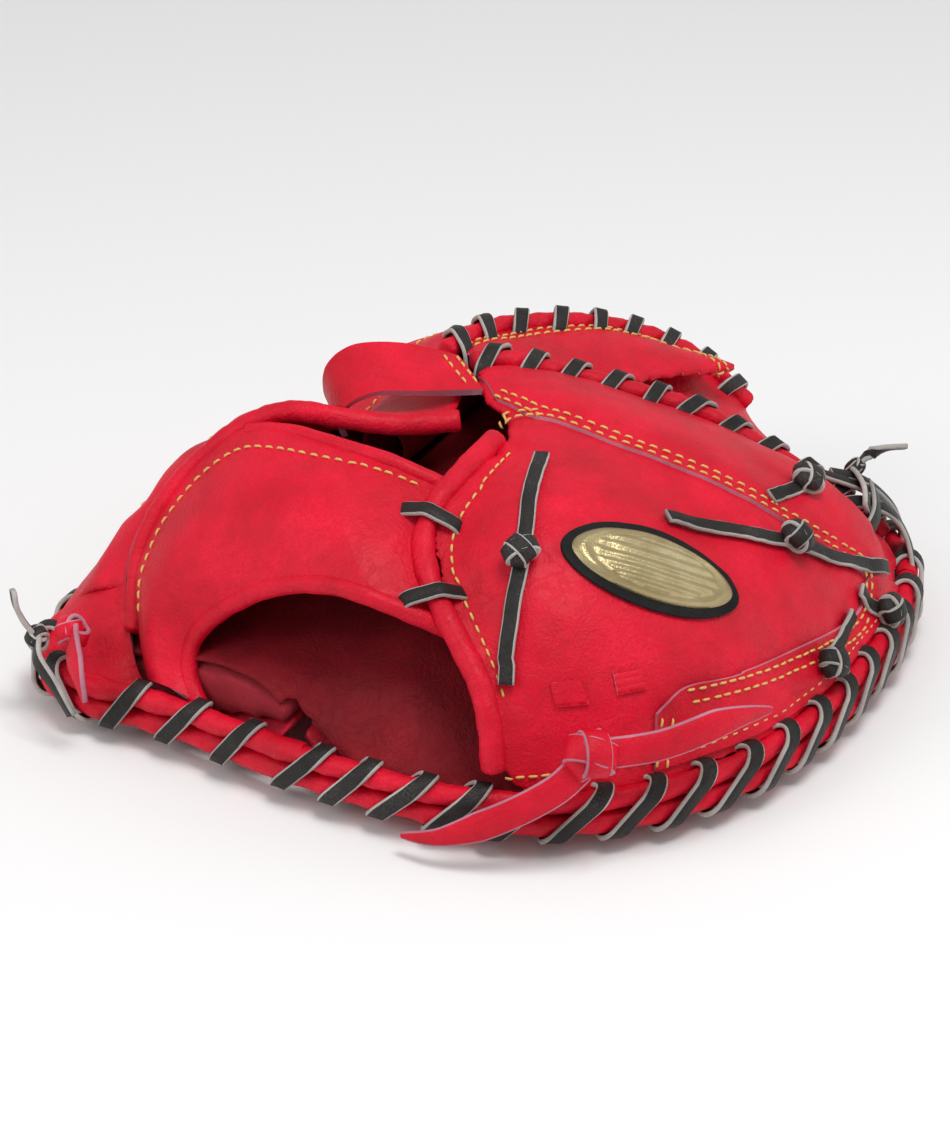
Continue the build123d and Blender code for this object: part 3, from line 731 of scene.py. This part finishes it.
def rolled_edge(node, lace_places, body):
    """A roll that is pinched a little at each lace, and creased between."""
    piece = cut_from(node.replace("roll", "rolled_edge"), node)
    work_soft(piece, 0.0011, 4)
    if lace_places:
        find = KDTree(len(lace_places))
        for index, place in enumerate(lace_places):
            find.insert(place, index)
        find.balance()
        for vertex in piece.data.vertices:
            distance = find.find(vertex.co)[2]
            swell = min(1.0, max(0.0, (distance - 0.005) / 0.006))
            vertex.co += vertex.normal * (swell * 0.0006 - 0.0003)
    crumple(piece, 0.0004, 0.006)
    piece.data.materials.append(red_hide)
    if body:
        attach(piece, body)
    return piece


def lace_turns(node):
    """The middle and the direction of the roll at each separate turn of a CAD lace."""
    bm = bmesh.new()
    bm.from_mesh(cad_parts[node].data)
    bmesh.ops.remove_doubles(bm, verts=bm.verts, dist=1e-6)
    left = set(bm.verts)
    turns = []
    while left:
        group, edge = [], [left.pop()]
        while edge:
            vertex = edge.pop()
            group.append(vertex)
            for link in vertex.link_edges:
                other = link.other_vert(vertex)
                if other in left:
                    left.remove(other)
                    edge.append(other)
        places = np.array([vertex.co for vertex in group])
        middle = (places.min(0) + places.max(0)) / 2
        thin = Vector(np.linalg.eigh(np.cov((places - places.mean(0)).T))[1][:, 0])
        turns.append((Vector(middle), thin if thin.x > 0 else -thin))
    bm.free()
    turns.sort(key=lambda turn: turn[0].x)
    return turns


rim_turns = {side: lace_turns("rim_lace_" + side) for side in ("thumb", "fingers", "tip")}
for side, body in (("thumb", "thumb_side"), ("fingers", "finger_side"), ("tip", None)):
    middles = [middle for middle, _ in rim_turns[side]]
    for level in ("lower", "upper"):
        offset = Vector((0, 0, -0.0042 if level == "lower" else 0.0042))
        rim = rolled_edge("rim_roll_" + level + "_" + side, [m + offset for m in middles], body)
        if side == "tip":
            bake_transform(rim)


def rolled_along(name, places, radius):
    """A rolled edge along a smooth line, closed at both ends."""
    curve = bpy.data.curves.new(name, "CURVE")
    curve.dimensions = "3D"
    curve.bevel_depth = radius
    curve.bevel_resolution = 5
    curve.use_fill_caps = True
    spline = curve.splines.new("POLY")
    line = curve_through(places, 0.0016)
    spline.points.add(len(line) - 1)
    for point, place in zip(spline.points, line):
        point.co = (*place, 1)
    piece = bpy.data.objects.new(name, curve)
    bpy.context.collection.objects.link(piece)
    only(piece)
    bpy.ops.object.convert(target="MESH")
    piece = bpy.context.object
    crumple(piece, 0.0003, 0.006)
    bpy.ops.object.shade_smooth()
    piece.data.materials.append(red_hide)
    return piece


# Short lengths that carry each rim roll on where one run meets the next
for level, z in (("lower", 10.8), ("upper", 19.2)):
    heel = rolled_along("rim_join_heel_" + level, [at(-130.5, 10, z), at(-130, 0, z), at(-129.5, -8, z),
                                                   at(-127.5, -16, z)], 0.0042)
    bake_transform(heel)
    side = rolled_along("rim_join_thumb_" + level, [at(112, -102, z), at(119, -97, z), at(125, -92, z),
                                                    at(130, -86, z)], 0.0042)
    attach(side, "thumb_side")
    side = rolled_along("rim_join_fingers_" + level, [at(155, 16, z), at(156, 8, z), at(156, 1, z),
                                                      at(155, -8, z)], 0.0042)
    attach(side, "finger_side")

web_turns_thumb = lace_turns("web_lace_thumb")
web_turns_fingers = lace_turns("web_lace_fingers")
strap_turns = lace_turns("strap_lace")
rolled_edge("edge_roll_thumb", [m for m, _ in strap_turns], "thumb_side")
rolled_edge("edge_roll_fingers", [], "finger_side")
rolled_edge("seam_roll_thumb", [m for m, _ in web_turns_thumb], "thumb_side")
rolled_edge("seam_roll_fingers", [m for m, _ in web_turns_fingers], "finger_side")

# The thumb side's rim row is sewn through the panel just above the upper roll
sewn_rows("rim_sewing_thumb", [thumb_line(rim_row, 0.0008)], "thumb_side")

# ---------------------------------------------------------------------------
# Rawhide lacing: one long flat lace through punched holes
# Black dyed grain on both faces, with the pale suede of the cut showing along each edge.

LACE_WIDTH = 0.0056
LACE_THICKNESS = 0.0018
black_grain = hide_finish("black_rawhide_grain", ((0.012, 0.011, 0.010), (0.028, 0.025, 0.023),
                                                  (0.10, 0.09, 0.085)),
                          1500.0, 0.5, (0.38, 0.55), 0.0003)
suede_edge = hide_finish("grey_suede_edge", ((0.30, 0.28, 0.26), (0.50, 0.48, 0.45), (0.66, 0.63, 0.6)),
                         3000.0, 0.5, (0.85, 0.95), 0.0003)


def add_band(bm, places, width, thickness, closed, taper=0.0):
    """A flat lace through (centre, outward normal) places, with softly rounded edges."""
    count = len(places)
    rings = []
    for index, (centre, normal) in enumerate(places):
        if closed:
            ahead = places[(index + 1) % count][0] - places[index - 1][0]
        else:
            ahead = places[min(index + 1, count - 1)][0] - places[max(index - 1, 0)][0]
        narrow = 1 - taper * max(0.0, index / (count - 1) - 0.6) / 0.4
        half, deep = width / 2 * narrow, thickness / 2
        bevel = thickness * 0.28
        outline = [(-half, -deep + bevel), (-half + bevel, -deep), (half - bevel, -deep),
                   (half, -deep + bevel),
                   (half, deep - bevel), (half - bevel, deep), (-half + bevel, deep), (-half, deep - bevel)]
        ahead.normalize()
        side = ahead.cross(normal).normalized()
        up = side.cross(ahead)
        rings.append([bm.verts.new(centre + side * s + up * u) for s, u in outline])
    pairs = list(zip(rings, rings[1:]))
    if closed:
        pairs.append((rings[-1], rings[0]))
    for low, high in pairs:
        for i in range(8):
            face = bm.faces.new((low[i], low[(i + 1) % 8], high[(i + 1) % 8], high[i]))
            face.material_index = 0 if i in (1, 5) else 1
    if not closed:
        for cap in (rings[0], rings[-1]):
            bm.faces.new(cap).material_index = 1


def lace_piece(name, bm, body, nodes=(), finishes=None):
    """Finish a mesh of laces as one piece."""
    bmesh.ops.recalc_face_normals(bm, faces=bm.faces)
    mesh = bpy.data.meshes.new(name)
    bm.to_mesh(mesh)
    bm.free()
    for finish in finishes or (black_grain, suede_edge):
        mesh.materials.append(finish)
    mesh.shade_smooth()
    piece = bpy.data.objects.new(name, mesh)
    bpy.context.collection.objects.link(piece)
    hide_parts(*nodes)
    if body:
        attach(piece, body)
    return piece


ROLL_RADIUS = 0.004
ROLL_STEP = 0.0042
RIM_LEAN = 1.0
TURN_POINTS = 28
for side, body in (("thumb", "thumb_side"), ("fingers", "finger_side"), ("tip", None)):
    bm = bmesh.new()
    for index, (middle, along) in enumerate(rim_turns[side]):
        out = Vector((along.y, -along.x, 0)).normalized()
        if out.dot(Vector((middle.x, middle.y, 0))) < 0:
            out = -out
        radius = ROLL_RADIUS + LACE_THICKNESS / 2 + 0.0005
        lean = RIM_LEAN * (1 if side == "thumb" else 0.8) + 0.2 * noise.noise(Vector((index * 1.7, 3.1, 0)))
        slip = 0.0015 * noise.noise(Vector((index * 2.3, 9.1, 4)))
        places = []
        for turn in range(TURN_POINTS):
            angle = math.tau * turn / TURN_POINTS
            up = math.sin(angle)
            normal = out * math.cos(angle) + Vector((0, 0, up))
            centre = middle + normal * radius + Vector((0, 0, math.copysign(ROLL_STEP, up)))
            centre += along * (lean * (centre.z - middle.z) + slip)
            places.append((centre, normal))
        add_band(bm, places, LACE_WIDTH * 1.1, LACE_THICKNESS, True)
    lace = lace_piece("rim_lacing_" + side, bm, body, ["rim_lace_" + side])
    if side == "tip":
        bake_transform(lace)


def over_roll(name, turns, node, body, reach, lean, sink=0.0045):
    """Laces that come out beside a roll, cross over it and go in again on the other side."""
    bm = bmesh.new()
    for index, (middle, along) in enumerate(turns):
        across = Vector((along.y, -along.x, 0)).normalized()
        top = along.cross(across).normalized()
        if top.z < 0:
            top = -top
        tilt = lean * (1 + 0.35 * noise.noise(Vector((index * 3.3, 1.7, 0))))
        crown = ROLL_RADIUS + LACE_THICKNESS / 2 + 0.0004
        knots = [(-reach, -sink), (-reach * 0.86, 0.0008), (-crown * 0.72, crown * 0.74), (0, crown),
                 (crown * 0.72, crown * 0.74), (reach * 0.86, 0.0008), (reach, -sink)]
        line = curve_through([middle + across * a + top * t + along * tilt * -a for a, t in knots], 0.0009)
        places = []
        for point in line:
            offset = point - middle
            places.append((point, across * offset.dot(across) * 0.8 + top * (offset.dot(top) + 0.004)))
        add_band(bm, places, LACE_WIDTH, LACE_THICKNESS, False)
    return lace_piece(name, bm, body, [node])


WEB_LACE_LEAN = 0.7
STRAP_LACE_LEAN = 0.15
over_roll("web_lacing_thumb", web_turns_thumb, "web_lace_thumb", "thumb_side", 0.0098, WEB_LACE_LEAN)
over_roll("web_lacing_fingers", web_turns_fingers, "web_lace_fingers", "finger_side", 0.0095, WEB_LACE_LEAN)
over_roll("strap_lacing", strap_turns, "strap_lace", "thumb_side", 0.0120, STRAP_LACE_LEAN)

# ---------------------------------------------------------------------------
# Web: a panel between the two seams, with a flap folded over it
# Two leathers sewn together, with raw pink edges and a double row round the flap.

for node in ("web_panel", "web_flap"):
    web = cut_from(node.replace("web", "webbing"), node)
    work_soft(web, 0.0012, 3)
    tuck_under(web, "seam_roll_thumb", "seam_roll_fingers")
    crumple(web, 0.0008, 0.03)
    web.data.materials.append(red_hide)
    web.data.materials.append(raw_edge)
    for face in web.data.polygons:
        if abs(face.normal.z) < 0.3 and abs(face.normal.x) > 0.55:
            face.material_index = 1
    if node == "web_flap":
        flap_row = [at(26, 38, 108), at(60, 32, 103), at(95, 23, 93), at(116, 14, 83), at(119, -2, 77),
                    at(112, -22, 72)]
        flap_sewing = sewn_rows("web_flap_sewing", [laid_on(surface_of(web), flap_row, 0.0002, Vector((0, 0,
                1)))],
                                None, (-ROW_APART / 2, ROW_APART / 2))
        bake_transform(flap_sewing)
    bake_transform(web)

# ---------------------------------------------------------------------------
# Wrist strap: a double band over the wrist opening, with a bound roll along each edge
# It comes out from under the thumb panel and runs down beside the finger roll to the rim.

strap_upper = [at(-44, -36, 88), at(-54, -22, 94), at(-61, -9, 100), at(-65, 3, 103), at(-67, 22, 103),
               at(-68, 42, 102),
               at(-71, 60, 98), at(-82, 74, 84), at(-93, 80, 70), at(-105, 81, 54), at(-113, 76, 42),
               at(-120, 68, 29),
               at(-125, 60, 20)]
strap_lower = [at(-84, -62, 58), at(-93, -53, 66), at(-102, -42, 73), at(-109, -26, 78), at(-112, -10, 77),
               at(-114, 11, 69),
               at(-117, 32, 54), at(-120, 43, 40), at(-124, 42, 28), at(-127, 34, 20)]
STRAP_OUT = Vector((-0.72, 0.1, 0.69))


def bowed(depth):
    """Shape that bows a sheet outwards across the strap."""
    def bow(point, share, along):
        return point + STRAP_OUT * depth * math.sin(math.pi * share) * min(1.0, along / 0.3) ** 2
    return bow


strap = sheet_between("wrist_band", strap_upper, strap_lower, 0.0030, bowed(0.008), 150)
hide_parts("wrist_strap")
crumple(strap, 0.0009, 0.03)
inner_upper = [at(-66, -14, 101), at(-72, 3, 102), at(-75, 22, 100), at(-77, 40, 98), at(-80, 56, 93),
               at(-89, 68, 80),
               at(-99, 74, 66), at(-109, 73, 51), at(-116, 68, 38)]
strap_sewing = sewn_rows("wrist_band_sewing", [laid_on(surface_of(strap), inner_upper, 0.0002, STRAP_OUT)])


binding_upper = rolled_along("wrist_band_binding_upper", strap_upper[:7], 0.0030)
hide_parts("strap_binding_upper")
binding_lower = rolled_along("wrist_band_binding_lower", strap_lower, 0.0033)
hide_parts("strap_binding_lower")
for piece in (strap, strap_sewing, binding_upper, binding_lower):
    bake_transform(piece)

# ---------------------------------------------------------------------------
# Finger guard: a band that arches over the opening for the finger that is kept outside
# Hide with raw pink edges, sewn down at its web end by two short rows.

guard = sheet_between(
    "guard_band",
    [at(-4, 8, 105), at(-13, 14, 106), at(-24, 23, 107), at(-33, 33, 107), at(-38, 41, 102), at(-37, 47, 93),
     at(-31, 50, 84)],
    [at(6, 28, 109), at(-2, 36, 113), at(-13, 45, 116), at(-23, 53, 116), at(-30, 58, 110), at(-30, 60, 99),
     at(-25, 59, 88)],
    0.0024, None, 60)
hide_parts("finger_guard")
crumple(guard, 0.0005, 0.02)
guard_surface = surface_of(guard)
guard_rows = [laid_on(guard_surface, row, 0.0002, Vector((0, 0, 1))) for row in (
    [at(-2, 12, 112), at(1, 19, 112), at(4, 25, 113)], [at(-6, 14, 112), at(-3, 22, 113), at(0, 28, 114)])]
guard_sewing = sewn_rows("guard_band_sewing", guard_rows)
for piece in (guard, guard_sewing):
    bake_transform(piece)

# ---------------------------------------------------------------------------
# Emblem: an oval of black felt under a moulded gold plate of plain ridges
# Sewn to the thumb panel over the thumb; its pattern is only a rim and straight ribs.

EMBLEM_MIDDLE = at(-35, -93, 80)
EMBLEM_ALONG = (at(-9, -112, 66) - at(-58, -70, 93)).normalized()
EMBLEM_ACROSS = EMBLEM_ALONG.cross(OUT_OF_THUMB).normalized()


def oval_on_panel(name, half_long, half_short, base, profile, finish, node):
    """An oval plate laid on the panel, from a base height up to a profile of its two shares."""
    bm = bmesh.new()
    spokes, rings = 72, 26
    lay_point = on_thumb(0.0)

    def raised(share, turn, height):
        along, aside = share * math.cos(turn), share * math.sin(turn)
        flat = EMBLEM_MIDDLE + EMBLEM_ALONG * along * half_long + EMBLEM_ACROSS * aside * half_short
        return bm.verts.new(lay_point(flat, 0) + OUT_OF_THUMB * (height if height else profile(share, aside)))

    top = [[raised(ring / rings, math.tau * i / spokes, None) for i in range(spokes)] for ring in range(1,
            rings + 1)]
    foot = [raised(1.0, math.tau * i / spokes, base) for i in range(spokes)]
    loops = top + [foot]
    for low, high in zip(loops, loops[1:]):
        for i in range(spokes):
            bm.faces.new((low[i], low[(i + 1) % spokes], high[(i + 1) % spokes], high[i]))
    bm.faces.new(top[0])
    bm.faces.new(reversed(foot))
    bmesh.ops.recalc_face_normals(bm, faces=bm.faces)
    mesh = bpy.data.meshes.new(name)
    bm.to_mesh(mesh)
    bm.free()
    mesh.materials.append(finish)
    piece = bpy.data.objects.new(name, mesh)
    bpy.context.collection.objects.link(piece)
    only(piece)
    bpy.ops.object.shade_smooth_by_angle(angle=math.radians(40))
    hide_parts(node)
    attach(piece, "thumb_side")


def plate_profile(share, aside):
    rim = max(0.0, 1 - abs(share - 0.88) / 0.1)
    edge = min(1.0, (1 - share) / 0.05)
    ribs = 0.5 + 0.5 * math.cos(aside * 24)
    return 0.0018 + edge * (0.0009 + 0.0009 * rim + (0.0006 * ribs if share < 0.76 else 0.0))


felt = hide_finish("black_felt", ((0.008, 0.008, 0.008), (0.02, 0.02, 0.02), (0.05, 0.05, 0.05)),
                   2600.0, 0.8, (0.9, 0.98))
gold_plate = hide_finish("moulded_gold", ((0.36, 0.28, 0.13), (0.56, 0.47, 0.27), (0.78, 0.72, 0.52)),
                         1700.0, 0.15, (0.28, 0.4), 0.0002)
gold_plate.node_tree.nodes["Principled BSDF"].inputs["Metallic"].default_value = 0.7
oval_on_panel("emblem_felt", 0.034, 0.0165, 0.0001, lambda share, aside: 0.0016, felt, "emblem_backing")
oval_on_panel("emblem_oval", 0.0305, 0.0130, 0.0012, plate_profile, gold_plate, "emblem_plate")

# ---------------------------------------------------------------------------
# Ties on the thumb panel: two laces laid over it, and the knotted lace ends at the web and the rim
# They hold the thumb padding; each knot stands as three closed turns of lace over each other.

KNOT_SPAN = 0.0078


def add_knot(bm, centre, normal, ahead, size=KNOT_SPAN):
    """A knot drawn as three closed turns of lace over each other."""
    side = normal.cross(ahead).normalized()
    for angle, lift, scale in ((0.5, 0.35, 1.0), (-0.7, 0.75, 0.85), (1.5, 0.1, 0.9)):
        long_side = ahead * math.cos(angle) + side * math.sin(angle)
        cross = normal.cross(long_side)
        places = []
        for turn in range(20):
            a = math.tau * turn / 20
            ring = cross * math.cos(a) + normal * math.sin(a)
            spot = centre + normal * size * (0.35 + 0.3 * lift)
            spot += cross * math.cos(a) * size * 0.72 * scale + normal * math.sin(a) * size * 0.5 * scale
            places.append((spot, ring))
        add_band(bm, places, size * 0.75, LACE_THICKNESS, True)


def panel_tie(name, nodes, route, knot_at, width=LACE_WIDTH):
    """A lace laid on the thumb panel with one knot."""
    laid = thumb_line(route, 0.0022)
    bm = bmesh.new()
    add_band(bm, [(place, normal) for place, normal, _ in laid[::2]], width, LACE_THICKNESS, False)
    if knot_at:
        knot = min(laid, key=lambda item: (item[0] - knot_at).length)
        add_knot(bm, *knot)
    return lace_piece(name, bm, "thumb_side", nodes)


panel_tie("thumb_pad_tie", ["pad_tie_lace"],
          [at(-28, -39, 102), at(-50, -52, 99), at(-71, -66, 89), at(-85, -73, 74), at(-96, -79, 55)],
          at(-71, -66, 89))
panel_tie("thumb_web_tie", ["web_tie_lace"],
          [at(-16, -84, 88), at(4, -93, 79), at(29, -104, 67), at(56, -110, 52), at(84, -108, 37)],
          at(29, -104, 67))
panel_tie("web_end_knot", [], [at(40, -88, 76), at(52, -87, 73), at(66, -84, 69)], at(64, -85, 69))
panel_tie("rim_end_knot_low", [], [at(18, -127, 30), at(34, -123, 33), at(47, -120, 38)], at(20, -127, 30))
panel_tie("rim_end_knot_high", [], [at(72, -118, 27), at(64, -118, 34), at(58, -116, 42)], at(70, -118, 28))

# The web lace ends in crossed turns over the corner where the seam meets the rim
bm = bmesh.new()
for corner in (
        [at(96, -78, 48), at(108, -84, 47), at(120, -90, 38), at(128, -92, 22), at(124, -96, 8)],
        [at(104, -68, 55), at(116, -80, 47), at(122, -92, 34), at(118, -101, 20), at(112, -103, 7)],
        [at(112, -66, 52), at(124, -74, 46), at(132, -82, 34), at(135, -84, 20), at(130, -86, 7)],
        [at(90, -97, 44), at(104, -92, 46), at(118, -82, 46), at(130, -72, 42)]):
    line = curve_through(corner, 0.0015)
    add_band(bm, [(point, Vector((point.x * 0.6, point.y, 0.05)).normalized()) for point in line],
             LACE_WIDTH, LACE_THICKNESS, False)
lace_piece("web_lace_crossings", bm, "thumb_side")

# ---------------------------------------------------------------------------
# Loose ends: the thumb thong, the little finger's thong, and the lace ends at heel and tip
# The thongs are soft red hide, wider than the lacing, with pink suede edges and pointed tails.


def thong(name, node, body, knot_at, knot_normal, tails, width, knot_size, red):
    """A knot with flat tails through chosen points."""
    bm = bmesh.new()
    for tail in tails:
        line = curve_through(tail, 0.002)
        places = []
        for point in line:
            places.append((point, Vector((point.x, point.y, 0)).normalized() + Vector((0, 0, 0.35))))
        add_band(bm, places, width, LACE_THICKNESS * 1.1, False, 0.8 if red else 0.0)
    ahead = (tails[0][1] - tails[0][0]).normalized()
    add_knot(bm, knot_at - knot_normal * knot_size * 0.4, knot_normal, ahead, knot_size)
    return lace_piece(name, bm, body, [node], (red_hide, raw_edge) if red else None)


thong("thumb_thong_tied", "thumb_thong", "thumb_side", at(-95, -115, 42), OUT_OF_THUMB, [
    [at(-96, -115, 41), at(-107, -110, 32), at(-119, -96, 21), at(-129, -79, 12), at(-132, -64, 8)],
    [at(-94, -116, 42), at(-76, -130, 43), at(-52, -139, 45), at(-29, -141, 40)]], 0.0105, 0.0125, True)
thong("little_finger_thong_tied", "little_finger_thong", "finger_side", at(-138, 85, 36),
      Vector((-1, 0.1, 0.3)), [
    [at(-139, 84, 36), at(-147, 76, 37), at(-153, 68, 32), at(-154, 64, 22)]], 0.0100, 0.0085, True)
thong("heel_lace_tied", "heel_lace_ends", "finger_side", at(-143, 98, 31), Vector((-1, 0.1, 0.3)), [
    [at(-143, 98, 31), at(-146, 101, 37), at(-148, 103, 44), at(-148, 104, 50)],
    [at(-144, 97, 31), at(-153, 88, 30), at(-155, 78, 24), at(-154, 71, 14)]], LACE_WIDTH, 0.006, False)
thong("tip_lace_tied", "tip_lace_ends", "thumb_side", at(127, -66, 48), Vector((0.5, -0.5, 0.7)), [
    [at(127, -66, 48), at(133, -68, 52), at(139, -72, 54), at(145, -77, 54)],
    [at(124, -68, 48), at(116, -76, 51), at(107, -85, 52), at(99, -91, 50)]], LACE_WIDTH, 0.006, False)
